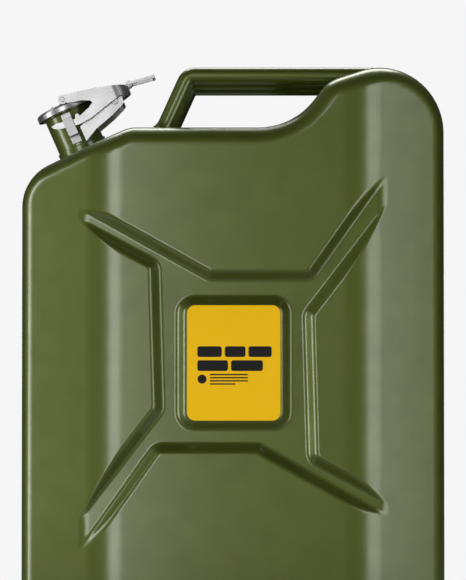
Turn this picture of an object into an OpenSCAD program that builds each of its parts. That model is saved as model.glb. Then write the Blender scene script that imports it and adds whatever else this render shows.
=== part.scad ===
// Twenty-litre steel fuel can with a cam-lever cap, three carrying bars and a pressed X on each face.
// Front face looks along -Y, the spout leans toward -X, +Z is up. All sizes in mm.

/* [Body] */
// Overall width of the can across its two side walls
body_w = 345; // [335:1:355]
// Depth of the can from front face to rear face
body_d = 165; // [155:1:175]
// Radius rolled around the edge between each face and the side walls
edge_r = 15; // [11:0.5:18]
// Thickness of the pressed steel sheet
sheet_t = 1; // [0.8:0.1:1.4]
// Angle that the outer strips of each face lean back
strip_angle = 24; // [18:1:28]

/* [Face pressing] */
// Depth of the pressed X below the face
press_depth = 7; // [5:0.1:8]
// How far the top of the label pad lies below the face
pad_top = 0.5; // [0.3:0.1:2]
// Width of the yellow label plate
label_w = 75; // [60:1:80]
// Height of the yellow label plate
label_h = 92.5; // [80:0.5:96]

/* [Seam] */
// Width of the sunken channel along the joint of the two halves
channel_w = 14; // [10:1:20]
// Depth of the sunken channel
channel_depth = 4; // [2.5:0.5:5]

/* [Handles] */
// Outside diameter of each carrying bar
bar_d = 13; // [11:0.5:13]
// Distance between neighbouring bars
bar_pitch = 45; // [38:1:48]

/* [Spout] */
// Outside diameter of the neck tube
neck_d = 39.6; // [38:0.1:39.8]
// Wall of the neck tube
neck_wall = 1.5; // [1.2:0.1:2]
// Outside diameter of the cap
cap_d = 50; // [49:0.1:50.2]
// Diameter of the pin that carries the cap
hinge_pin_d = 4; // [3:0.1:4.2]
// Thickness of the lever plate
lever_t = 1.5; // [1.2:0.1:1.8]
// Diameter of the spring wire of the safety loop
wire_d = 2.2; // [1.8:0.1:2.4]

/* [Hidden] */

paint = [0.33, 0.36, 0.20];
zinc = [0.80, 0.81, 0.82];
rubber = [0.08, 0.08, 0.08];
yellow = [0.86, 0.68, 0.07];

top_z = 419;          // flat top under the handles
base_r = 42;          // rounding of the two bottom corners, seen from the front
spout_r = 37;         // rounding of the upper corner beside the spout
shoulder_r = 52;      // rounding of the tall shoulder
valley_r = 56.5;      // rounding between the flat top and the tall shoulder
waist_z = 300;        // height up to which the tall shoulder overlaps the rest of the outline
lean = 23.7;          // lean of the neck, square to the left shoulder
neck_x = -125.4;      // point on the neck axis, used as the origin of the spout
neck_z = 406.7;
shoulder_h = -5.1;    // shoulder surface measured along the neck axis
half_w = body_w / 2;
half_d = body_d / 2;
bar_top = 470;        // highest point of the carrying bars
seam_gap = 2.2;       // weld metal between the two halves

lever_axis = [1.5, 41.8];    // lever pivot in the spout frame: across, along the neck
cap_axis = [40.7, 23.7];     // cap hinge in the spout frame
loop_axis = [57.2, 33.9];    // safety loop pivot in the spout frame
cheek_y = 25.6;              // inner face of the lever cheeks

function arc(cx, cz, r, a0, a1, n) =
    [for (i = [0 : n]) let (a = a0 + (a1 - a0) * i / n) [cx + r * cos(a), cz + r * sin(a)]];

// ---------- frames ----------
module at_neck() translate([neck_x, 0, neck_z]) rotate([0, -lean, 0]) children();
// a flat shape drawn in across/along coordinates, standing from y0 to y0 + t
module plate(y0, t) translate([0, y0 + t, 0]) rotate([90, 0, 0]) linear_extrude(t) children();
module both_sides() {
    children();
    mirror([0, 1, 0]) children();
}
module rod(p, d, y0, y1) translate([p[0], y1, p[1]]) rotate([90, 0, 0]) cylinder(d = d, h = y1 - y0, $fn = 48);

// ---------- body outline ----------
// the body up to its flat top, and the tall shoulder that carries the far end of the bars
module outline() {
    hull() {
        polygon(arc(-half_w + base_r, base_r, base_r, 180, 270, 5));
        polygon(arc(half_w - base_r, base_r, base_r, 270, 360, 5));
        polygon([[half_w, waist_z], [100, top_z], [-79.6, top_z], [-83.8, top_z - 0.5], [-87.6, top_z - 1.7]]);
        polygon(arc(-half_w + spout_r, 355.9, spout_r, 90 + lean, 180, 4));
    }
    polygon(concat(
        arc(half_w - shoulder_r, 416.8, shoulder_r, 0, 108, 6),
        [[84.2, 458.6], [78.3, 455.9], [73.3, 451.4]],
        arc(20.4, top_z + valley_r, valley_r, -38, -90, 4),
        [[20.4, waist_z], [half_w, waist_z]]));
}

// plan of the can: flat middle, two gentle bends, strips leaning back to the edges
module plan(grow) {
    bend_r = 74;
    bend_x = 89;
    edge = half_w + grow;
    bend = arc(bend_x, -half_d + bend_r, bend_r, 270, 270 + strip_angle, 3);
    last = bend[3];
    front = concat(bend, [[edge, last[1] + (edge - last[0]) * tan(strip_angle)]]);
    both_sides() polygon(concat(
        front,
        [[edge, 0.01], [-edge, 0.01]],
        [for (i = [len(front) - 1 : -1 : 0]) [-front[i][0], front[i][1]]]));
}

// the front half of the can, smaller all round by the edge radius that is rolled on afterwards
module core() {
    intersection() {
        plate(-half_d, half_d) offset(delta = -edge_r) outline();
        linear_extrude(500) offset(delta = -edge_r) plan(0);
    }
}
module rounded_body(r) minkowski() {
    core();
    sphere(r = r / cos(15), $fn = 12);
}

// ---------- pressings ----------
module press_outline() {
    half = [[-66.4, 305.3], [-135, 342.1], [-135, 367.6], [-17.7, 302.1],
            [60.4, 302.1], [135, 407.5], [135, 358.6], [64.2, 266.5]];
    offset(r = 5, $fn = 8) offset(delta = -5)
        polygon(concat(half, [for (p = half) [1 - p[0], 459 - p[1]]]));
}
module pad_outline(w, h, r) translate([0.6, 228.6]) offset(r = r, $fn = 24)
    square([w - 2 * r, h - 2 * r], center = true);

// a pressing whose walls slope at 45 degrees from the floor outline out past the face
module pressing(depth, extra) {
    translate([0, -half_d + depth + extra, 0]) minkowski() {
        translate([0, 0.01, 0]) plate(-0.02, 0.02) offset(delta = 0.414 * extra - depth) children();
        rotate([90, 0, 0]) cylinder(r1 = 0, r2 = depth + 3, h = depth + 3, $fn = 8);
    }
}
// raised pad in the middle of the X that carries the label, also with 45 degree walls
module pad(extra) {
    shrink = 0.414 * extra;
    hull() {
        plate(-half_d + pad_top + extra, 0.01) offset(delta = -shrink)
            pad_outline(label_w + 3, label_h + 1.4, 7);
        plate(-half_d + press_depth + extra + 0.01, 0.01) offset(delta = press_depth - pad_top - shrink)
            pad_outline(label_w + 3, label_h + 1.4, 7);
    }
}
module pressed(extra, labelled) {
    difference() {
        pressing(press_depth, extra) press_outline();
        if (labelled) pad(extra);
    }
}

// band around the outline, left out over the top where the neck and the handles stand
module channel(depth, w) {
    difference() {
        plate(-w / 2, w) difference() {
            offset(delta = 5) outline();
            offset(delta = -depth) outline();
        }
        translate([-150, -50, 350]) cube([280, 100, 200]);
    }
}

// one pressed half, open toward the joint; the rear half is the mirror image without the label pad
module half_shell(labelled) intersection() {
    difference() {
        rounded_body(edge_r);
        pressed(0, labelled);
        channel(channel_depth, channel_w);
        difference() {
            rounded_body(edge_r - sheet_t);
            pressed(sheet_t, labelled);
            channel(channel_depth + sheet_t, channel_w + 2 * sheet_t);
        }
        at_neck() translate([0, 0, -40]) cylinder(d = neck_d + 0.1, h = 60, $fn = 96);
    }
    translate([-200, -100, -5]) cube([400, 100 - seam_gap / 2, 500]);
}
module front_shell() color(paint) half_shell(true);
module rear_shell() color(paint) mirror([0, 1, 0]) half_shell(false);
module weld_seam() color(paint) {
    bead = 0.7;
    difference() {
        plate(-seam_gap / 2, seam_gap) difference() {
            outline();
            offset(delta = -channel_depth - sheet_t) outline();
        }
        plate(-5, 10) difference() {
            offset(delta = 5) outline();
            union() {
                offset(delta = -channel_depth + bead) outline();
                translate([-150, 350]) square([280, 200]);
            }
        }
        plate(-5, 10) intersection() {
            offset(delta = -sheet_t) outline();
            translate([-145, 355]) square([270, 200]);
        }
        at_neck() translate([0, 0, -40]) cylinder(d = neck_d + 0.1, h = 60, $fn = 96);
    }
}

module label_plate() color(yellow)
    plate(-half_d, pad_top - 0.02) pad_outline(label_w, label_h, 6.5);

// ---------- carrying bars ----------
// leg leaning over the shoulder side, one elbow, then a level bar into the rounded shoulder
leg_lean = 24.4;
elbow_r = 9;
elbow_lap = 2;
bar_wall = 1.2;
bar_start = -31;
bar_level = bar_top - bar_d / 2;
leg_start = [bar_start - elbow_r * cos(leg_lean), bar_level - elbow_r * (1 - sin(leg_lean))];
module straights(d, trim) {
    translate([bar_start + trim, 0, bar_level]) rotate([0, 90, 0]) cylinder(d = d, h = 145, $fn = 48);
    translate([leg_start[0], 0, leg_start[1]]) rotate([0, 180 + leg_lean, 0])
        translate([0, 0, trim]) cylinder(d = d, h = 60, $fn = 48);
}
module bar() intersection() {
    difference() {
        union() {
            straights(bar_d, 0);
            translate([bar_start, 0, bar_level - elbow_r]) rotate([90, 0, 0])
                rotate([0, 0, 90 - elbow_lap])
                rotate_extrude(angle = 90 - leg_lean + 2 * elbow_lap, $fn = 96)
                translate([elbow_r, 0]) circle(d = bar_d + 0.1, $fn = 48);
        }
        straights(bar_d - 2 * bar_wall, 1);
    }
    plate(-50, 100) polygon([[-90, top_z + 0.03], [60, top_z + 0.03], [73.3, 453], [78.3, 456.9], [84.2, 459.2],
                             [104.4, 466.9], [114, 468.4], [114, 480], [-90, 480]]);
}
module handle_front() color(paint) translate([0, -bar_pitch, 0]) bar();
module handle_middle() color(paint) bar();
module handle_rear() color(paint) translate([0, bar_pitch, 0]) bar();

// ---------- spout ----------
neck_r = neck_d / 2;
// the lower half of the bore is a little wider, so the spout seat is a bore of its own
seat_bottom = 14;
module neck() color(paint) at_neck() rotate_extrude($fn = 96) polygon([
    [neck_r - neck_wall + 0.4, -10], [neck_r, -10], [neck_r, 31.6], [neck_r + 1.4, 32.4],
    [neck_r + 1.4, 34.4], [neck_r + 0.7, 35], [neck_r - neck_wall, 35], [neck_r - neck_wall, seat_bottom],
    [neck_r - neck_wall + 0.4, seat_bottom - 0.4]]);
module neck_collar() color(paint) at_neck() rotate_extrude($fn = 96) polygon([
    [neck_r + 0.05, shoulder_h + 0.05], [neck_r + 0.7, shoulder_h + 0.05], [neck_r + 1.3, 2.4],
    [neck_r + 1, 2.8], [neck_r + 0.05, 2.8]]);
module breather_tube() color(paint) at_neck()
    translate([neck_r - neck_wall - 4.55, 0, -34]) difference() {
        cylinder(r = 4.5, h = 46, $fn = 48);
        translate([0, 0, -1]) cylinder(r = 3.7, h = 48, $fn = 48);
    }

// bracket over each claw: two feet on the neck, two walls and a bridge plate
keeper_left = -5.5;
keeper_w = 8.3;
module keeper() {
    foot = neck_r + 0.05;
    outer = cheek_y + 3.7;
    sheet = 1.2;
    at_neck() translate([keeper_left, 0, 0]) rotate([90, 0, 90]) linear_extrude(keeper_w) polygon([
        [-foot, 4.5], [-foot, 12.1], [-outer + sheet, 12.1], [-outer + sheet, 24.6], [-foot, 24.6],
        [-foot, 31], [-foot - sheet, 31], [-foot - sheet, 25.8], [-outer, 25.8], [-outer, 10.9],
        [-foot - sheet, 10.9], [-foot - sheet, 4.5]]);
}
module keeper_front() color(zinc) keeper();
module keeper_rear() color(zinc) mirror([0, 1, 0]) keeper();

// two arms out to the cap hinge, each with a saddle on the neck, and a web between their lower edges
arm_y = 20.2;
arm_t = 2;
saddle_w = 3;
module hinge_bracket() color(zinc) at_neck() difference() {
    union() {
        intersection() {
            translate([0, 0, 5]) cylinder(r = arm_y + arm_t - 0.3, h = 10.5, $fn = 96);
            translate([6, -40, 0]) cube([saddle_w, 80, 40]);
        }
        plate(-arm_y - 0.1, 2 * arm_y + 0.2) polygon([[17.7, 9], [33.9, 13.9], [40.7, 16.7], [45, 18.8],
                                                      [44.4, 20.2], [40.1, 18.2], [33.5, 15.4], [17.3, 10.5]]);
        both_sides() plate(-arm_y - arm_t, arm_t) {
            polygon([[6, 3], [10.1, 5], [17.7, 9], [33.9, 13.9], [40.7, 16.7], [47.2, 19.9], [47.4, 25.5],
                     [43, 29.6], [36, 28.6], [22, 23.5], [6, 15.8]]);
            translate(cap_axis) circle(r = 6.6, $fn = 48);
        }
    }
    translate([0, 0, -1]) cylinder(r = neck_r + 0.05, h = 50, $fn = 96);
    rod(cap_axis, hinge_pin_d + 0.1, -40, 40);
}
module hinge_pin() color(zinc) at_neck() {
    rod(cap_axis, hinge_pin_d, -arm_y - arm_t - 0.5, arm_y + arm_t + 0.5);
    both_sides() rod(cap_axis, 5.6, -arm_y - arm_t - 1.4, -arm_y - arm_t - 0.05);
}

// ---------- cap ----------
cap_r = cap_d / 2;
cap_bottom = 33.3;
cap_top = 39.1;
rivet_x = 8;
rivet_r = 2;
module rivet_holes() for (x = [-rivet_x, rivet_x])
    translate([x, 0, 20]) cylinder(r = rivet_r + 0.05, h = 30, $fn = 32);
module cap() color(zinc) at_neck() difference() {
    rotate_extrude($fn = 96) polygon([
        [cap_r - 1, cap_bottom], [cap_r, cap_bottom], [cap_r, cap_top - 2], [cap_r - 0.6, cap_top - 0.6],
        [cap_r - 2, cap_top], [0, cap_top], [0, cap_top - 1.1], [cap_r - 2.1, cap_top - 1.1],
        [cap_r - 1, cap_top - 2.1]]);
    rivet_holes();
}
module cap_gasket() color(rubber) at_neck() translate([0, 0, 35.15]) difference() {
    cylinder(r = neck_r + 1.4, h = 2.7, $fn = 96);
    translate([0, 0, -1]) cylinder(r = 16.2, h = 5, $fn = 96);
}
module gasket_retainer() color(zinc) at_neck() difference() {
    translate([0, 0, 36.4]) cylinder(r = 15.9, h = 1.5, $fn = 96);
    rivet_holes();
}
module bridge_rivets() color(zinc) at_neck() for (x = [-rivet_x, rivet_x]) translate([x, 0, 0]) {
    translate([0, 0, 35.6]) cylinder(r = rivet_r, h = 6.2, $fn = 32);
    translate([0, 0, 35.5]) cylinder(r = 3.4, h = 0.85, $fn = 32);
    translate([0, 0, 41.15]) cylinder(r1 = 3.6, r2 = 2.4, h = 1.1, $fn = 32);
}

// flat strap across the cap, two ears for the lever and a tongue bent down to the hinge
ear_y = cheek_y - 2;
ear_t = 1.8;
tongue_x = cap_r + 0.15;
tongue_t = 1.85;
module cap_bridge() color(zinc) at_neck() difference() {
    union() {
        translate([-12, -9, cap_top + 0.05]) cube([12 + tongue_x + tongue_t, 18, 1.95]);
        translate([-2.4, -ear_y - ear_t, cap_top + 0.05]) cube([7.8, 2 * (ear_y + ear_t), 1.95]);
        both_sides() plate(-ear_y - ear_t, ear_t) intersection() {
            union() {
                translate(lever_axis) circle(r = 3.6, $fn = 48);
                translate([lever_axis[0] - 3.6, cap_top]) square([7.2, lever_axis[1] - cap_top]);
            }
            translate([-10, cap_top + 0.05]) square([30, 20]);
        }
        plate(-12, 24) {
            translate([tongue_x, 25.7]) square([tongue_t, 15.4]);
            translate([tongue_x, 25.7]) square([cap_axis[0] - tongue_x, 2]);
            translate(cap_axis) circle(r = 4, $fn = 48);
        }
    }
    rivet_holes();
    rod(lever_axis, 3.1, -40, 40);
    // room for the inner heads of the lever pins
    both_sides() rod(lever_axis, 4.6, -ear_y - 0.01, -ear_y + 1);
    rod(cap_axis, hinge_pin_d + 0.1, -40, 40);
}

// ---------- lever ----------
module lever_side() {
    difference() {
        union() {
            polygon([
                [1.6, 45.5], [23.8, 41.2], [30.3, 40.4], [31.8, 39.4], [42.3, 36.6], [52.5, 33.6], [55.7, 31.5],
                [55.7, 27.4], [46.2, 25.8], [37.2, 23.8], [26.4, 20.8], [16.7, 18.2], [6.4, 17.4], [-4, 19],
                [-11.4, 20.4], [-14.5, 22.3], [-16, 24.4], [-11.7, 25.6], [-4, 24.3], [4.7, 22.9],
                [6.2, 26.2], [8.4, 26.4], [9.6, 23.8], [18.6, 26.9], [23.4, 29.7], [22.2, 31.8],
                [15.9, 34.8], [3.8, 37.7]]);
            translate(lever_axis) circle(r = 3.8, $fn = 48);
        }
        translate(lever_axis) circle(d = 3.1, $fn = 48);
    }
}
// plan of the lever: two straight cheeks closed by a rounded end
module lever_plan(inset) {
    r = 13;
    tail = 55.5;
    y = cheek_y + lever_t - inset;
    translate([-30, -y]) square([30 + tail - r, 2 * y]);
    translate([0, r - cheek_y - lever_t]) square([tail - inset, 2 * (cheek_y + lever_t - r)]);
    for (s = [-1, 1]) translate([tail - r, s * (cheek_y + lever_t - r)]) circle(r = r - inset, $fn = 48);
}
module lever() color(zinc) at_neck() {
    intersection() {
        plate(-30, 60) lever_side();
        linear_extrude(60) difference() {
            lever_plan(0);
            lever_plan(lever_t);
        }
    }
    // web across the top of the lever
    intersection() {
        plate(-30, 60) polygon([[31.8, 39.4], [42.3, 36.6], [52.5, 33.6], [55.7, 31.5],
                                [55.7, 29.9], [52.1, 32], [42, 35], [31.8, 37.8]]);
        linear_extrude(60) lever_plan(lever_t / 2);
    }
    // two lugs for the safety loop
    both_sides() plate(-9.4, 2.2) difference() {
        union() {
            translate(loop_axis) circle(r = 2.6, $fn = 48);
            polygon([[54.6, 30.6], [57.2, 31.3], [57.2, 36.5], [55.2, 35.7], [53, 33]]);
        }
        translate(loop_axis) circle(d = wire_d + 0.3, $fn = 48);
    }
}
module lever_pins() color(zinc) at_neck() both_sides() {
    rod(lever_axis, 3, -cheek_y - lever_t - 0.6, -ear_y + 0.8);
    rod(lever_axis, 4.4, -cheek_y - lever_t - 0.9, -cheek_y - lever_t - 0.05);
    rod(lever_axis, 4.4, -ear_y + 0.05, -ear_y + 0.9);
}
// wire loop: two short axles in the lugs, two arms and an end bar
module safety_loop() color(zinc) at_neck() {
    reach = [78, 31];
    arm = reach - loop_axis;
    loop_y = 11;
    eye = wire_d * 0.75;
    both_sides() {
        rod(loop_axis, wire_d, -loop_y - eye, -6.4);
        plate(-loop_y - eye / 1.5, 2 * eye / 1.5) {
            translate(loop_axis) circle(d = wire_d + 0.8, $fn = 48);
            translate(reach) circle(d = wire_d + 0.8, $fn = 48);
            translate(loop_axis) rotate(atan2(arm[1], arm[0])) translate([0, -wire_d / 2])
                square([norm(arm), wire_d]);
        }
    }
    rod(reach, wire_d, -loop_y - eye, loop_y + eye);
}

front_shell();
rear_shell();
weld_seam();
label_plate();
handle_front();
handle_middle();
handle_rear();
neck();
neck_collar();
breather_tube();
keeper_front();
keeper_rear();
hinge_bracket();
hinge_pin();
cap();
cap_gasket();
gasket_retainer();
cap_bridge();
bridge_rivets();
lever();
lever_pins();
safety_loop();
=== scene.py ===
import math

import bmesh
import bpy
import numpy as np
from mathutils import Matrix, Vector


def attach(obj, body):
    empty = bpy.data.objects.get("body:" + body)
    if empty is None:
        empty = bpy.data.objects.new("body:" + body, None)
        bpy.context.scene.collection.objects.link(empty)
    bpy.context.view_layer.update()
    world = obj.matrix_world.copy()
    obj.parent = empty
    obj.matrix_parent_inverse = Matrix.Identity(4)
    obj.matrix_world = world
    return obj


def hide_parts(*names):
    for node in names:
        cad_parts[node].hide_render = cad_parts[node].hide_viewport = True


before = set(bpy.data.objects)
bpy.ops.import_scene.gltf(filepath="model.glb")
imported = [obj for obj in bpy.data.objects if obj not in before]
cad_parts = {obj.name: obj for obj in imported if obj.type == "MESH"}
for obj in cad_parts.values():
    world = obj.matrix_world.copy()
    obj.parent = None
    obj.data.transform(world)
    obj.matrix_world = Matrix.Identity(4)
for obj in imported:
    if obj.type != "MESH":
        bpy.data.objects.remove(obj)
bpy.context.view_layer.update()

# Lengths below are millimetres until a mesh is made; the frame itself is in metres.
MM = 0.001

# ---------- sizes of the can ----------
HALF_WIDTH = 172.5
FACE_Y = -82.5
TOP_Z = 419.0
CAN_HEIGHT = 470.0
EDGE_RADIUS = 15.0
STRIP_ANGLE = math.radians(24.0)
BEND_START = 89.0
BEND_RADIUS = 74.0
PRESS_DEPTH = 7.0
PAD_DEPTH = 0.5
CREASE_BLEND = 2.2
CHANNEL_DEPTH = 4.0
LEAN = math.radians(23.7)
NECK_ORIGIN = (-125.4, 406.7)
NECK_HOLE = 19.05
NECK_RADIUS = 19.8
# the neck stands above this height; nothing below it is near the neck
NECK_ZONE_Z = 380.0
BAR_PITCH = 45.0

# corner x, corner z, rounding radius, anticlockwise as seen from the front
BODY_CORNERS = [
    (-HALF_WIDTH, 0.0, 42.0),
    (HALF_WIDTH, 0.0, 42.0),
    (HALF_WIDTH, 488.8, 51.5),
    (77.1, 456.2, 25.0),
    (48.0, TOP_Z, 56.5),
    (-83.8, TOP_Z, 20.0),
    (-HALF_WIDTH, 380.1, 37.0),
]
# half of the pressed X; the other half is the same turned half a turn about its middle
PRESS_HALF = [
    (-66.4, 305.3), (-135.0, 342.1), (-135.0, 367.6), (-17.7, 302.1),
    (60.4, 302.1), (135.0, 407.5), (135.0, 358.6), (64.2, 266.5),
]
PRESS_MIDDLE = (0.5, 229.5)
PRESS_CORNER = 5.0
LABEL_MIDDLE = (0.6, 228.6)
PAD_HALF = (39.0, 46.9)
PAD_CORNER = 7.5
LABEL_HALF = (37.5, 46.25)
LABEL_CORNER = 6.5


# ---------- outlines made of lines and arcs ----------
class Outline:
    """A closed outline with rounded corners. Distances are negative inside it."""

    def __init__(self, corners):
        count = len(corners)
        starts = []
        ends = []
        self.arcs = []
        self.lines = []
        for i, (x, z, radius) in enumerate(corners):
            here = np.array([x, z])
            before = here - np.array(corners[i - 1][:2])
            after = np.array(corners[(i + 1) % count][:2]) - here
            before = before / np.linalg.norm(before)
            after = after / np.linalg.norm(after)
            turn = math.atan2(before[0] * after[1] - before[1] * after[0], float(before @ after))
            reach = radius * math.tan(abs(turn) / 2)
            convex = 1.0 if turn > 0 else -1.0
            start = here - before * reach
            centre = start + convex * radius * np.array([-before[1], before[0]])
            middle = (here - centre) / np.linalg.norm(here - centre)
            starts.append(start)
            ends.append(here + after * reach)
            self.arcs.append((centre, radius, math.atan2(middle[1], middle[0]), abs(turn) / 2, convex))
        for i in range(count):
            a = ends[i]
            b = starts[(i + 1) % count]
            along = (b - a) / np.linalg.norm(b - a)
            self.lines.append((a, along, float(np.linalg.norm(b - a)), np.array([along[1], -along[0]])))

    def inset(self, amount):
        """The same outline moved inwards by amount."""
        moved = Outline.__new__(Outline)
        moved.lines = [(a - n * amount, d, length, n) for a, d, length, n in self.lines]
        moved.arcs = [(c, r - s * amount, m, h, s) for c, r, m, h, s in self.arcs]
        return moved

    def nearest(self, points):
        """Signed distance, outward normal and nearest outline point for every row of points."""
        best = np.full(len(points), np.inf)
        normal = np.zeros((len(points), 2))
        foot = np.zeros((len(points), 2))
        for a, along, length, n in self.lines:
            t = np.clip((points - a) @ along, 0.0, length)
            q = a + t[:, None] * along
            self._keep_closer(points, q, np.broadcast_to(n, q.shape), best, normal, foot)
        for centre, radius, middle, half, convex in self.arcs:
            v = points - centre
            turn = np.arctan2(v[:, 1], v[:, 0]) - middle
            turn = (turn + math.pi) % (2 * math.pi) - math.pi
            angle = middle + np.clip(turn, -half, half)
            radial = np.stack([np.cos(angle), np.sin(angle)], axis=1)
            q = centre + radius * radial
            self._keep_closer(points, q, convex * radial, best, normal, foot)
        side = np.sign(np.sum((points - foot) * normal, axis=1))
        return best * np.where(side == 0, 1.0, side), normal, foot

    @staticmethod
    def _keep_closer(points, q, n, best, normal, foot):
        distance = np.linalg.norm(points - q, axis=1)
        closer = distance < best
        best[closer] = distance[closer]
        normal[closer] = n[closer]
        foot[closer] = q[closer]

    def walk(self, step):
        """Points and outward normals around the outline, about one per step."""
        points = []
        normals = []
        count = len(self.lines)
        for i in range(count):
            centre, radius, middle, half, convex = self.arcs[i]
            pieces = max(2, int(2 * half * radius / step))
            for k in range(pieces):
                angle = middle + convex * half * (2 * k / pieces - 1)
                radial = np.array([math.cos(angle), math.sin(angle)])
                points.append(centre + radius * radial)
                normals.append(convex * radial)
            a, along, length, n = self.lines[i]
            pieces = max(1, int(length / step))
            for k in range(pieces):
                points.append(a + along * length * k / pieces)
                normals.append(n)
        return np.array(points), np.array(normals)


def rounded_box(middle, half, radius):
    """Outline of a rectangle with rounded corners."""
    x, z = middle
    signs = ((-1, -1), (1, -1), (1, 1), (-1, 1))
    return Outline([(x + a * half[0], z + b * half[1], radius) for a, b in signs])


def turned(points):
    """The other half of the X: the same points turned half a turn about the middle of the face."""
    return [(2 * PRESS_MIDDLE[0] - x, 2 * PRESS_MIDDLE[1] - z) for x, z in points]


body_outline = Outline(BODY_CORNERS)
inner_outline = body_outline.inset(EDGE_RADIUS)
press_outline = Outline([(x, z, PRESS_CORNER) for x, z in reversed(PRESS_HALF + turned(PRESS_HALF))])
pad_outline = rounded_box(LABEL_MIDDLE, PAD_HALF, PAD_CORNER)


def smooth_min(a, b, blend):
    """The smaller of two values, with the crossing rounded over the given blend."""
    near = np.maximum(blend - np.abs(a - b), 0.0) / blend
    return np.minimum(a, b) - near * near * blend / 4


def smooth_max(a, b, blend):
    return -smooth_min(-a, -b, blend)


# ---------- the pressed skin of one half ----------
# The skin is drawn over a flat sheet of (u, w). Inside inner_outline it is the face. Outside it, the distance
# t from inner_outline first rolls around the edge, then runs back along the side wall.
ROLL_SPAN = 16.0
WALL_SPAN = 26.0
WALL_RATE = 2.5
WALL_END_Y = -8.0
# how far from a pressing the skin still has to be tested against it
PRESS_REACH = 40.0
PAD_REACH = 30.0

# sizes of the mesh cells, from open face to sharp crease
OPEN_CELL = 12.0
BEND_CELL = 3.0
SLOPE_CELL = 1.5
CREASE_CELL = 0.75
CELL_STEPS = 16


def core_profile(u):
    """Depth of the middle surface of the rolled edge, and the lean of the face, at each u."""
    radius = BEND_RADIUS - EDGE_RADIUS
    beyond = np.maximum(np.abs(u) - BEND_START, 0.0)
    angle = np.minimum(np.arcsin(np.minimum(beyond / radius, 1.0)), STRIP_ANGLE)
    bend_end = radius * math.sin(STRIP_ANGLE)
    depth = FACE_Y + BEND_RADIUS - radius * np.cos(angle)
    depth = depth + np.maximum(beyond - bend_end, 0.0) * math.tan(STRIP_ANGLE)
    return depth, angle * np.sign(u)


def press_depths(points):
    """Depth of the pressed X below the face at each (x, z), negative outside it."""
    distance, _, _ = press_outline.nearest(points)
    return smooth_min(-distance, np.full(len(points), PRESS_DEPTH), CREASE_BLEND)


def skin(sheet, with_pad):
    """Places sheet points (u, w) on the front half of the can."""
    distance, normal, foot = inner_outline.nearest(sheet)
    inside = distance < 0
    anchor = np.where(inside[:, None], sheet, foot)
    depth, angle = core_profile(anchor[:, 0])
    face_normal = np.stack([np.sin(angle), -np.cos(angle), np.zeros(len(angle))], axis=1)
    wall_normal = np.stack([normal[:, 0], np.zeros(len(angle)), normal[:, 1]], axis=1)
    turn = np.arccos(np.clip(np.sum(face_normal * wall_normal, axis=1), -1.0, 1.0))
    t = np.maximum(distance, 0.0)
    rolled = turn * np.minimum(t / ROLL_SPAN, 1.0)
    direction = np.sin(turn - rolled)[:, None] * face_normal + np.sin(rolled)[:, None] * wall_normal
    direction = direction / np.sin(turn)[:, None]
    core = np.stack([anchor[:, 0], depth, anchor[:, 1]], axis=1)
    place = core + EDGE_RADIUS * direction
    place[:, 1] += np.maximum(t - ROLL_SPAN, 0.0) * WALL_RATE
    flat = place[:, [0, 2]]
    pressed = FACE_Y + press_depths(flat)
    near_press = inside & (pressed > FACE_Y - PRESS_REACH)
    y = np.where(near_press, smooth_max(place[:, 1], pressed, CREASE_BLEND), place[:, 1])
    if with_pad:
        away, _, _ = pad_outline.nearest(flat)
        pad = FACE_Y + PAD_DEPTH + smooth_max(away, np.zeros(len(away)), CREASE_BLEND)
        y = np.where(inside & (away < PAD_REACH), smooth_min(y, pad, CREASE_BLEND), y)
    place[:, 1] = y
    return place


def skin_normals(sheet, with_pad):
    """Outward normals of the skin from small steps along the sheet."""
    step = 0.05
    across = skin(sheet + [step, 0.0], with_pad) - skin(sheet - [step, 0.0], with_pad)
    up = skin(sheet + [0.0, step], with_pad) - skin(sheet - [0.0, step], with_pad)
    normal = np.cross(across, up)
    return normal / np.maximum(np.linalg.norm(normal, axis=1), 1e-9)[:, None]


def wanted_cell(sheet, slack, with_pad):
    """How small the mesh cells have to be around each sheet point; slack is the reach of the cell tested."""
    bend_end = 122.0
    pressed_depth = 9.0
    collar_reach = 24.0
    collar_z = 370.0
    distance, _, _ = inner_outline.nearest(sheet)
    flat = skin(sheet, False)[:, [0, 2]]
    depth, angle = core_profile(sheet[:, 0])
    base_y = depth - EDGE_RADIUS * np.cos(angle)
    press, _, _ = press_outline.nearest(flat)
    off_middle = np.abs(flat[:, 0])
    soft = slack + CREASE_BLEND
    wanted = np.full(len(sheet), OPEN_CELL)
    wanted[(off_middle + slack > BEND_START) & (off_middle - slack < bend_end)] = BEND_CELL
    wanted[distance > -slack] = BEND_CELL
    in_press = (press < soft) & (distance < -2.0) & (base_y - slack < FACE_Y + pressed_depth)
    wanted[in_press & (press > -PRESS_DEPTH - soft)] = SLOPE_CELL
    crease = (np.abs(press) < soft) | (np.abs(press + PRESS_DEPTH) < soft)
    run_out = off_middle > BEND_START
    wanted[in_press & (crease | run_out)] = CREASE_CELL
    if with_pad:
        pad, _, _ = pad_outline.nearest(flat)
        for edge in (0.0, PRESS_DEPTH - PAD_DEPTH):
            wanted[np.abs(pad - edge) < soft] = CREASE_CELL
    _, rho = neck_radius(skin(sheet, False))
    wanted[(rho < collar_reach + slack) & (flat[:, 1] > collar_z)] = SLOPE_CELL
    return wanted


def neck_radius(place):
    """Distance across the neck and distance from its axis for points in space."""
    dx = place[:, 0] - NECK_ORIGIN[0]
    dz = place[:, 2] - NECK_ORIGIN[1]
    v = dx * math.cos(LEAN) + dz * math.sin(LEAN)
    return v, np.hypot(v, place[:, 1])


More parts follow.
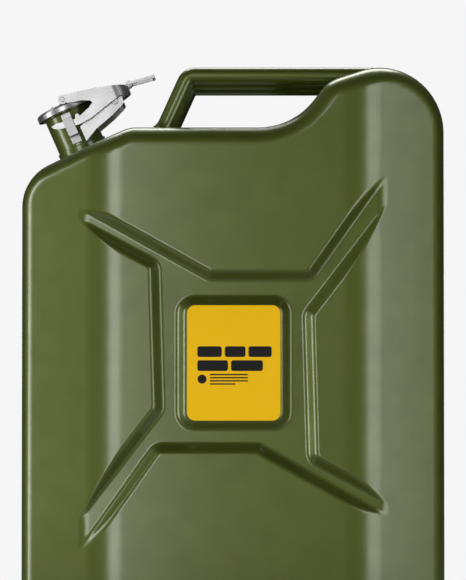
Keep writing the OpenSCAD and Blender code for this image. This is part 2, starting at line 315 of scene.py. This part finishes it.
def sheet_cells(with_pad):
    """Square cells of several sizes over the sheet, as (column, row, size) in steps of the smallest cell."""
    margin = ROLL_SPAN + WALL_SPAN
    across = math.ceil((HALF_WIDTH + margin) / OPEN_CELL)
    below = math.ceil(margin / OPEN_CELL)
    above = math.ceil((CAN_HEIGHT + margin) / OPEN_CELL)
    starts = [(i * CELL_STEPS, j * CELL_STEPS) for i in range(-across, across) for j in range(-below, above)]
    cells = np.array(starts)
    size = CELL_STEPS
    done = []
    while len(cells):
        width = size * CREASE_CELL
        middle = cells * CREASE_CELL + width / 2
        # the corners of a cell lie 0.71 of its width from its middle
        wanted = wanted_cell(middle, width * 0.75, with_pad)
        distance, _, _ = inner_outline.nearest(middle)
        kept = distance < margin + width
        split = kept & (wanted < width * 0.99) & (size > 1)
        for column, row in cells[kept & ~split]:
            done.append((int(column), int(row), size))
        parents = cells[split]
        size = size // 2
        quarters = [parents + [dx, dy] for dx in (0, size) for dy in (0, size)]
        cells = np.concatenate(quarters)
    return done


def half_mesh(with_pad):
    """One half as far as the side channel: points, faces, normals and wall directions."""
    cells = sheet_cells(with_pad)
    index = {}
    for column, row, size in cells:
        for dx, dy in ((0, 0), (size, 0), (size, size), (0, size)):
            index.setdefault((column + dx, row + dy), len(index))
    faces = []
    for column, row, size in cells:
        # walk round the cell and pick up the corners of smaller neighbours on the way
        x, y = column, row
        ring = []
        for dx, dy in ((1, 0), (0, 1), (-1, 0), (0, -1)):
            for _ in range(size):
                if (x, y) in index:
                    ring.append(index[x, y])
                x += dx
                y += dy
        faces.append(ring)
    sheet = np.array(list(index), dtype=float) * CREASE_CELL
    place = skin(sheet, with_pad)
    normals = skin_normals(sheet, with_pad)
    beyond = place[:, 1] >= WALL_END_Y
    faces = [ring for ring in faces if not all(beyond[i] for i in ring)]
    place[beyond, 1] = WALL_END_Y
    _, wall, _ = inner_outline.nearest(sheet)
    return place, faces, normals, wall


def channel_share(place):
    """1 where the sunken channel runs, 0 over the top where the neck and the bars stand."""
    left_end = -140.0
    right_end = 122.0
    run_out = 14.0
    top_zone_z = 350.0
    left = np.clip((left_end - place[:, 0]) / run_out, 0.0, 1.0)
    right = np.clip((place[:, 0] - right_end) / run_out, 0.0, 1.0)
    share = np.where(place[:, 2] > top_zone_z, np.maximum(left, right), 1.0)
    return share * share * (3 - 2 * share)


# inset from the side wall and y, from the wall to the joint
CHANNEL_STEPS = [
    (0.0, -7.8), (0.12, -7.4), (0.55, -7.0), (2.0, -6.65), (3.45, -6.3),
    (3.88, -5.9), (4.0, -5.4), (4.0, -3.0), (4.0, -0.6),
]


def body_half(with_pad):
    """One pressed half: its mesh, the exact normals and which of them are to be used."""
    place, faces, normals, wall = half_mesh(with_pad)
    known = [True] * len(place)
    mesh = bmesh.new()
    verts = [mesh.verts.new(p) for p in place]
    for ring in faces:
        mesh.faces.new([verts[i] for i in ring])
    mesh.verts.index_update()
    rim_edges = [e for e in mesh.edges if len(e.link_faces) == 1]
    rim = sorted({v.index for e in rim_edges for v in e.verts})
    share = channel_share(place[rim])
    previous = {i: verts[i] for i in rim}
    normals = list(normals)
    for inset, y in CHANNEL_STEPS:
        current = {}
        for order, i in enumerate(rim):
            depth = inset * share[order]
            spot = (place[i][0] - wall[i][0] * depth, y, place[i][2] - wall[i][1] * depth)
            current[i] = mesh.verts.new(spot)
            normals.append(np.array([wall[i][0], 0.0, wall[i][1]]))
            known.append(share[order] == 0.0)
        for e in rim_edges:
            a = e.verts[0].index
            b = e.verts[1].index
            mesh.faces.new((previous[a], previous[b], current[b], current[a]))
        previous = current
    mesh.verts.index_update()
    cut_neck_hole(mesh)
    bmesh.ops.recalc_face_normals(mesh, faces=mesh.faces)
    return mesh, np.array(normals), known


def cut_neck_hole(mesh):
    """Opens the top under the neck. The edge of the hole ends inside the wall of the neck tube."""
    spots = np.array([v.co[:] for v in mesh.verts])
    v, rho = neck_radius(spots)
    inside = (rho < NECK_HOLE) & (spots[:, 2] > NECK_ZONE_Z)
    doomed = [f for f in mesh.faces if all(inside[w.index] for w in f.verts)]
    bmesh.ops.delete(mesh, geom=doomed, context="FACES_ONLY")
    across = Vector((math.cos(LEAN), 0.0, math.sin(LEAN)))
    for vert in mesh.verts:
        if inside[vert.index]:
            push = (NECK_HOLE - rho[vert.index]) / max(rho[vert.index], 0.1)
            vert.co += across * (v[vert.index] * push) + Vector((0.0, vert.co.y * push, 0.0))


def finish_body(name, with_pad, mirrored):
    """Builds a body half and gives it exact normals, so the gloss shows no facets."""
    mesh, normals, known = body_half(with_pad)
    data = bpy.data.meshes.new(name)
    layer = mesh.verts.layers.int.new("order")
    for i, vert in enumerate(mesh.verts):
        vert[layer] = i
    loose = [v for v in mesh.verts if not v.link_faces]
    bmesh.ops.delete(mesh, geom=loose, context="VERTS")
    if mirrored:
        for vert in mesh.verts:
            vert.co.y = -vert.co.y
        bmesh.ops.reverse_faces(mesh, faces=mesh.faces)
    for face in mesh.faces:
        face.smooth = True
    for vert in mesh.verts:
        vert.co *= MM
    mesh.to_mesh(data)
    order = [v[layer] for v in mesh.verts]
    mesh.free()
    fitted = np.array([v.normal[:] for v in data.vertices])
    exact = normals[order]
    if mirrored:
        exact[:, 1] = -exact[:, 1]
    use = np.array(known)[order]
    fitted[use] = exact[use]
    data.normals_split_custom_set_from_vertices([tuple(n) for n in fitted])
    obj = bpy.data.objects.new(name, data)
    bpy.context.scene.collection.objects.link(obj)
    return obj


# ---------- materials ----------
EVEN = (1.0, 1.0, 1.0)
STREAKED = (1.0, 6.0, 1.0)


def make_material(name, colour, roughness, metallic, grain, bump, streaks, wear):
    """A surface with uneven colour and gloss and a grain that streaks stretch. Wear lightens its edges."""
    mat = bpy.data.materials.new(name)
    mat.use_nodes = True
    nodes = mat.node_tree.nodes
    links = mat.node_tree.links
    shader = nodes["Principled BSDF"]
    shader.inputs["Metallic"].default_value = metallic
    place = nodes.new("ShaderNodeTexCoord")

    def noise(scale, detail, stretch):
        mapping = nodes.new("ShaderNodeMapping")
        mapping.inputs["Scale"].default_value = stretch
        links.new(place.outputs["Object"], mapping.inputs["Vector"])
        texture = nodes.new("ShaderNodeTexNoise")
        texture.inputs["Scale"].default_value = scale
        texture.inputs["Detail"].default_value = detail
        links.new(mapping.outputs["Vector"], texture.inputs["Vector"])
        return texture.outputs["Fac"]

    def spread(value, low, high):
        node = nodes.new("ShaderNodeMapRange")
        node.inputs["From Min"].default_value = 0.3
        node.inputs["From Max"].default_value = 0.7
        node.inputs["To Min"].default_value = low
        node.inputs["To Max"].default_value = high
        links.new(value, node.inputs["Value"])
        return node.outputs["Result"]

    def shade(factor):
        return tuple(min(1.0, c * factor) for c in colour) + (1.0,)

    cloud = noise(9.0, 3.0, EVEN)
    tint = nodes.new("ShaderNodeMix")
    tint.data_type = "RGBA"
    tint.inputs["A"].default_value = shade(1.0 - grain)
    tint.inputs["B"].default_value = shade(1.0 + grain)
    links.new(spread(cloud, 0.0, 1.0), tint.inputs["Factor"])
    colour_out = tint.outputs["Result"]
    if wear > 0:
        edge = nodes.new("ShaderNodeNewGeometry")
        worn = nodes.new("ShaderNodeMapRange")
        worn.inputs["From Min"].default_value = 0.54
        worn.inputs["From Max"].default_value = 0.64
        worn.inputs["To Max"].default_value = wear
        links.new(edge.outputs["Pointiness"], worn.inputs["Value"])
        rub = nodes.new("ShaderNodeMix")
        rub.data_type = "RGBA"
        links.new(worn.outputs["Result"], rub.inputs["Factor"])
        links.new(colour_out, rub.inputs["A"])
        rub.inputs["B"].default_value = shade(1.7)
        colour_out = rub.outputs["Result"]
    links.new(colour_out, shader.inputs["Base Color"])
    gloss = noise(60.0, 4.0, streaks)
    links.new(spread(gloss, roughness * 0.88, roughness * 1.12), shader.inputs["Roughness"])
    fine = noise(900.0, 2.0, streaks)
    relief = nodes.new("ShaderNodeBump")
    relief.inputs["Strength"].default_value = bump
    relief.inputs["Distance"].default_value = 0.0002
    links.new(fine, relief.inputs["Height"])
    links.new(relief.outputs["Normal"], shader.inputs["Normal"])
    return mat


paint = make_material("olive_paint", (0.075, 0.097, 0.006), 0.50, 0.6, 0.04, 0.05, EVEN, 0.06)
zinc = make_material("zinc_plated_steel", (0.385, 0.385, 0.385), 0.35, 0.92, 0.05, 0.10, STREAKED, 0.0)
# the darker zinc copy below is painted shade: it stands in for the dark rims round the pin heads, and the
# pins and keepers wear it
shaded_zinc = make_material("shaded_zinc", (0.30, 0.30, 0.30), 0.37, 0.92, 0.08, 0.15, STREAKED, 0.0)
rubber = make_material("black_rubber", (0.02, 0.02, 0.02), 0.7, 0.0, 0.15, 0.4, EVEN, 0.0)
yellow = make_material("yellow_label", (0.90, 0.525, 0.0015), 0.6, 0.0, 0.03, 0.08, EVEN, 0.0)
ink = make_material("black_ink", (0.012, 0.012, 0.012), 0.55, 0.0, 0.1, 0.05, EVEN, 0.0)


def set_shader(mat, **values):
    """Sets more inputs of a material's main shader. Underscores in a name stand for spaces."""
    shader = mat.node_tree.nodes["Principled BSDF"]
    for name, value in values.items():
        shader.inputs[name.replace("_", " ")].default_value = value


# the paint is a tinted satin layer under a clear gloss; print on the label is flat
set_shader(paint, Coat_Weight=1.0, Coat_Roughness=0.2)
set_shader(yellow, Specular_IOR_Level=0.15)
set_shader(ink, Specular_IOR_Level=0.1)


def put(obj, body, slot_name, mat, *nodes):
    """Gives a piece its finish, its CAD body and the CAD nodes it stands for."""
    obj.data.materials.clear()
    obj.data.materials.append(mat)
    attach(obj, body)
    if nodes:
        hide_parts(*nodes)
    return obj


def mesh_object(name, vertices, faces, smooth=True):
    """A mesh object from millimetre points."""
    data = bpy.data.meshes.new(name)
    data.from_pydata([tuple(c * MM for c in v) for v in vertices], [], faces)
    data.validate()
    for polygon in data.polygons:
        polygon.use_smooth = smooth
    obj = bpy.data.objects.new(name, data)
    bpy.context.scene.collection.objects.link(obj)
    return obj


def add_bevel(obj, width, segments, angle=30.0):
    """Rounds the edges of an object and evens its shading."""
    bevel = obj.modifiers.new("bevel", "BEVEL")
    bevel.width = width * MM
    bevel.segments = segments
    bevel.limit_method = "ANGLE"
    bevel.angle_limit = math.radians(angle)
    weighted = obj.modifiers.new("weighted", "WEIGHTED_NORMAL")
    weighted.keep_sharp = True


# ---------- body ----------
front = finish_body("front_half", True, False)
rear = finish_body("rear_half", False, True)
put(front, "can", "olive_paint", paint, "front_shell")
put(rear, "can", "olive_paint", paint, "rear_shell")


def sweep_ring(name, points, normals, profile):
    """Sweeps a cross-section around a closed outline. profile(i) gives (inset, y) pairs for point i."""
    vertices = []
    faces = []
    count = len(points)
    for i in range(count):
        section = profile(i)
        for inset, y in section:
            vertices.append((points[i][0] - normals[i][0] * inset, y, points[i][1] - normals[i][1] * inset))
    width = len(section)
    for i in range(count):
        j = (i + 1) % count
        for k in range(width):
            m = (k + 1) % width
            faces.append((i * width + k, i * width + m, j * width + m, j * width + k))
    return mesh_object(name, vertices, faces)


def seam_bead():
    """Weld metal along the joint, with the small ripples of a seam welded in steps."""
    half_width = 2.4
    body_height = 0.75
    points, normals = body_outline.walk(1.6)
    share = channel_share(np.stack([points[:, 0], np.zeros(len(points)), points[:, 1]], axis=1))
    steps = 10

    def profile(i):
        ripple = 0.12 * math.sin(i * 2.1)
        floor = CHANNEL_DEPTH * share[i]
        height = (body_height + ripple) * share[i] + 0.05
        section = []
        for k in range(steps + 1):
            angle = math.pi * k / steps
            section.append((floor - height * math.sin(angle), half_width * math.cos(angle)))
        return section + [(floor + 1.0, -half_width), (floor + 1.0, half_width)]

    return sweep_ring("seam_bead", points, normals, profile)


def open_under_neck(bead):
    """Takes the bead away where it would cross the bore of the neck."""
    mesh = bmesh.new()
    mesh.from_mesh(bead.data)
    for face in list(mesh.faces):
        middle = np.array([face.calc_center_median()[:]]) / MM
        _, rho = neck_radius(middle)
        if rho[0] < NECK_HOLE + 0.15 and middle[0, 2] > NECK_ZONE_Z:
            mesh.faces.remove(face)
    mesh.to_mesh(bead.data)
    mesh.free()


bead = seam_bead()
open_under_neck(bead)
put(bead, "can", "olive_paint", paint, "weld_seam")


# ---------- label ----------
def flat_plate(name, outline, front_y, back_y, round_over):
    """A thin plate with a softened front edge."""
    points, normals = outline.walk(1.5)
    rings = [(0.0, back_y), (0.0, front_y + round_over), (round_over * 0.3, front_y + round_over * 0.3),
             (round_over, front_y)]
    vertices = []
    faces = []
    count = len(points)
    for inset, y in rings:
        for p, n in zip(points, normals):
            vertices.append((p[0] - n[0] * inset, y, p[1] - n[1] * inset))
    for r in range(len(rings) - 1):
        for i in range(count):
            j = (i + 1) % count
            faces.append((r * count + i, r * count + j, (r + 1) * count + j, (r + 1) * count + i))
    last = (len(rings) - 1) * count
    faces.append(tuple(range(last, last + count)))
    faces.append(tuple(reversed(range(count))))
    return mesh_object(name, vertices, faces, smooth=False)


label_outline = rounded_box(LABEL_MIDDLE, LABEL_HALF, LABEL_CORNER)
label = flat_plate("label_plate_face", label_outline, FACE_Y, FACE_Y + 0.48, 0.15)
put(label, "can", "yellow_label", yellow, "label_plate")


INK_FRONT_Y = FACE_Y - 0.06
INK_BACK_Y = FACE_Y + 0.02


def label_bars():
    """Plain dark bars and a disc in place of lettering."""
    # left end, right end, middle height and height of each bar
    heading = [(-28.6, -9.0, 237.6, 8.6), (-6.6, 10.0, 237.6, 8.6), (12.4, 31.0, 237.6, 8.6),
               (-28.6, -4.0, 226.4, 8.6), (-1.6, 24.0, 226.4, 8.6)]
    small = [(-18.6, 12.0, 219.2 - 2.5 * k, 1.1) for k in range(3)] + [(-18.6, 2.0, 211.7, 1.1)]
    made = []
    for left, right, z, height in heading + small:
        half = ((right - left) / 2, height / 2)
        outline = rounded_box(((left + right) / 2, z), half, min(1.6, height * 0.4))
        made.append(flat_plate("label_bar_%d" % len(made), outline, INK_FRONT_Y, INK_BACK_Y, 0.03))
    disc = rounded_box((-24.8, 215.6), (3.7, 3.7), 3.69)
    made.append(flat_plate("label_disc", disc, INK_FRONT_Y, INK_BACK_Y, 0.03))
    return made


for bar in label_bars():
    put(bar, "can", "yellow_label", ink)


# ---------- carrying bars ----------
LEG_LEAN = math.radians(24.4)
BAR_RADIUS = 6.5
ELBOW_RADIUS = 9.0
BAR_LEVEL = 463.5
ELBOW_X = -31.0


def bar_path():
    """Centre line of a bar from the flat top, round the elbow and into the tall shoulder."""
    centre_z = BAR_LEVEL - ELBOW_RADIUS
    corner_x = ELBOW_X - ELBOW_RADIUS * math.cos(LEG_LEAN)
    corner_z = centre_z + ELBOW_RADIUS * math.sin(LEG_LEAN)
    drop = corner_z - TOP_Z + 1.0
    path = []
    for share in (1.0, 0.955, 0.91, 0.87, 0.8, 0.4):
        path.append((corner_x - drop * share * math.tan(LEG_LEAN), corner_z - drop * share))
    turns = 10
    for k in range(turns + 1):
        angle = math.pi - LEG_LEAN - (math.pi / 2 - LEG_LEAN) * k / turns
        path.append((ELBOW_X + ELBOW_RADIUS * math.cos(angle), centre_z + ELBOW_RADIUS * math.sin(angle)))
    for x in (0.0, 40.0, 80.0, 104.0, 112.0, 114.5):
        path.append((x, BAR_LEVEL))
    return path


def bar_section(flare):
    """Round tube with a thin lip along the inner side, where its two edges are welded."""
    steps = 40
    section = []
    for k in range(steps):
        angle = 2 * math.pi * k / steps
        lip = max(0.0, 1.0 - abs((angle - 1.5 * math.pi) / 0.16)) * 1.1
        radius = BAR_RADIUS + flare + lip
        section.append((radius * math.cos(angle), radius * math.sin(angle)))
    return section


def carrying_bar(name, y):
    """One bar swept along its path, a little wider at its foot where the weld is."""
    path = bar_path()
    flares = [2.2, 1.1, 0.4, 0.08] + [0.0] * (len(path) - 4)
    vertices = []
    for i, (x, z) in enumerate(path):
        ahead = Vector(path[min(i + 1, len(path) - 1)]) - Vector(path[max(i - 1, 0)])
        ahead.normalize()
        up = Vector((-ahead.y, ahead.x))
        for across, out in bar_section(flares[i]):
            vertices.append((x + up.x * out, y + across, z + up.y * out))
    ring = len(bar_section(0.0))
    faces = []
    for i in range(len(path) - 1):
        for k in range(ring):
            m = (k + 1) % ring
            faces.append((i * ring + k, i * ring + m, (i + 1) * ring + m, (i + 1) * ring + k))
    faces.append(tuple(reversed(range(ring))))
    faces.append(tuple(range(len(vertices) - ring, len(vertices))))
    return mesh_object(name, vertices, faces)


for place, side in ((-1, "front"), (0, "middle"), (1, "rear")):
    tube = carrying_bar("bar_" + side, place * BAR_PITCH)
    put(tube, "can", "olive_paint", paint, "handle_" + side)


# ---------- foot of the neck ----------
def neck_collar():
    """The foot collar, a little wider at its top, turned about the neck's axis."""
    # radius and height along the neck, from inside the tube wall out and back in over the top
    section = [(19.2, -7.0), (20.45, -7.0), (20.5, -5.0), (20.8, -1.5), (21.05, 1.9),
               (21.06, 2.2), (20.97, 2.5), (20.8, 2.7), (20.5, 2.8), (NECK_RADIUS - 0.3, 2.8)]
    steps = 96
    vertices = []
    faces = []
    for k in range(steps):
        angle = 2 * math.pi * k / steps
        for radius, height in section:
            across = radius * math.cos(angle)
            vertices.append((NECK_ORIGIN[0] + across * math.cos(LEAN) - height * math.sin(LEAN),
                             radius * math.sin(angle),
                             NECK_ORIGIN[1] + across * math.sin(LEAN) + height * math.cos(LEAN)))
    width = len(section)
    for k in range(steps):
        following = (k + 1) % steps
        for m in range(width):
            n = (m + 1) % width
            faces.append((k * width + m, following * width + m, following * width + n, k * width + n))
    return mesh_object("neck_foot", vertices, faces)


put(neck_collar(), "can", "olive_paint", paint, "neck_collar")


# ---------- closure and neck, refined from the CAD shapes ----------
def refined(node, body, slot_name, mat, width, segments=2):
    """The CAD shape with flat faces merged and its edges rounded."""
    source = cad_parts[node]
    mesh = bmesh.new()
    mesh.from_mesh(source.data)
    bmesh.ops.transform(mesh, matrix=source.matrix_world, verts=mesh.verts)
    bmesh.ops.remove_doubles(mesh, verts=mesh.verts, dist=0.00001)
    bmesh.ops.dissolve_limit(mesh, angle_limit=math.radians(1.0), verts=mesh.verts, edges=mesh.edges)
    data = bpy.data.meshes.new(node + "_look")
    for face in mesh.faces:
        face.smooth = True
    mesh.to_mesh(data)
    mesh.free()
    data.set_sharp_from_angle(angle=math.radians(35.0))
    obj = bpy.data.objects.new(node + "_look", data)
    bpy.context.scene.collection.objects.link(obj)
    add_bevel(obj, width, segments)
    return put(obj, body, slot_name, mat, node)


REFINED = [
    ("neck", "can", "olive_paint", paint, 0.25),
    ("breather_tube", "can", "olive_paint", paint, 0.1),
    # keepers and pins take the darker zinc copy, which paints shade onto them
    ("keeper_front", "can", "zinc_plated_steel", shaded_zinc, 0.3),
    ("keeper_rear", "can", "zinc_plated_steel", shaded_zinc, 0.3),
    ("hinge_bracket", "can", "zinc_plated_steel", zinc, 0.25),
    ("hinge_pin", "can", "zinc_plated_steel", shaded_zinc, 0.3),
    ("cap", "lid", "zinc_plated_steel", zinc, 0.2),
    ("cap_gasket", "lid", "black_rubber", rubber, 0.3),
    ("gasket_retainer", "lid", "zinc_plated_steel", zinc, 0.2),
    ("cap_bridge", "lid", "zinc_plated_steel", zinc, 0.3),
    ("bridge_rivets", "lid", "zinc_plated_steel", zinc, 0.3),
    ("lever", "lever_body", "zinc_plated_steel", zinc, 0.3),
    ("lever_pins", "lever_body", "zinc_plated_steel", shaded_zinc, 0.25),
    ("safety_loop", "loop", "zinc_plated_steel", zinc, 0.5),
]
for node, body, slot_name, mat, width in REFINED:
    refined(node, body, slot_name, mat, width)


# ---------- floor, light and camera ----------
def stage_floor():
    """A round pale floor under the can."""
    steps = 96
    radius = 500.0
    vertices = [(radius * math.cos(2 * math.pi * k / steps), radius * math.sin(2 * math.pi * k / steps), -0.2)
                for k in range(steps)]
    return mesh_object("floor", vertices, [tuple(range(steps))], smooth=False)


floor = stage_floor()
floor.data.materials.append(make_material("floor_paint", (0.86, 0.86, 0.87), 0.6, 0.0, 0.01, 0.0, EVEN, 0.0))


def panel_light(name, azimuth, width, height, power, distance=2.4, z=0.30):
    """A soft panel facing the can. Azimuth 0 is straight in front, positive toward the can's right."""
    light = bpy.data.lights.new(name, "AREA")
    light.shape = "RECTANGLE"
    light.size = width
    light.size_y = height
    light.energy = power
    obj = bpy.data.objects.new(name, light)
    angle = math.radians(azimuth)
    obj.location = (distance * math.sin(angle), -distance * math.cos(angle), z)
    toward = Vector((0.0, 0.0, 0.26)) - obj.location
    obj.rotation_euler = toward.to_track_quat("-Z", "Y").to_euler()
    bpy.context.scene.collection.objects.link(obj)
    return obj


panel_light("broad_front_left", -13.2, 0.70, 1.6, 21.5, distance=2.6)
panel_light("strip_right", 42.5, 0.80, 2.0, 21.5)
panel_light("strip_left", -69.0, 0.55, 2.0, 31.0)
panel_light("top_rear", 180.0, 1.8, 0.8, 30.0, distance=1.05, z=2.1)
panel_light("back_left", -160.0, 0.5, 1.4, 2.5)
panel_light("back_right", 160.0, 0.5, 1.4, 2.5)

world = bpy.data.worlds.new("studio")
bpy.context.scene.world = world
world.use_nodes = True
world_nodes = world.node_tree.nodes
backdrop = world_nodes["Background"]
backdrop.inputs["Color"].default_value = (0.92, 0.92, 0.93, 1.0)
room = world_nodes.new("ShaderNodeBackground")
room.inputs["Color"].default_value = (0.9, 0.95, 1.0, 1.0)
room.inputs["Strength"].default_value = 0.035
path_kind = world_nodes.new("ShaderNodeLightPath")
chosen = world_nodes.new("ShaderNodeMixShader")
world.node_tree.links.new(path_kind.outputs["Is Camera Ray"], chosen.inputs["Fac"])
world.node_tree.links.new(room.outputs["Background"], chosen.inputs[1])
world.node_tree.links.new(backdrop.outputs["Background"], chosen.inputs[2])
world.node_tree.links.new(chosen.outputs["Shader"], world_nodes["World Output"].inputs["Surface"])

CAMERA_DISTANCE = 2.182
CAMERA_HEIGHT = 0.235
CAMERA_TILT = math.radians(1.42)
FOCAL_LENGTH = 162.5
SENSOR_WIDTH = 36.0
lens = bpy.data.cameras.new("camera")
lens.lens = FOCAL_LENGTH
lens.sensor_width = SENSOR_WIDTH
camera = bpy.data.objects.new("camera", lens)
camera.location = (0.0, -CAMERA_DISTANCE, CAMERA_HEIGHT)
camera.rotation_euler = (math.pi / 2 + CAMERA_TILT, 0.0, 0.0)
bpy.context.scene.collection.objects.link(camera)
bpy.context.scene.camera = camera
bpy.context.scene.view_settings.view_transform = "Standard"
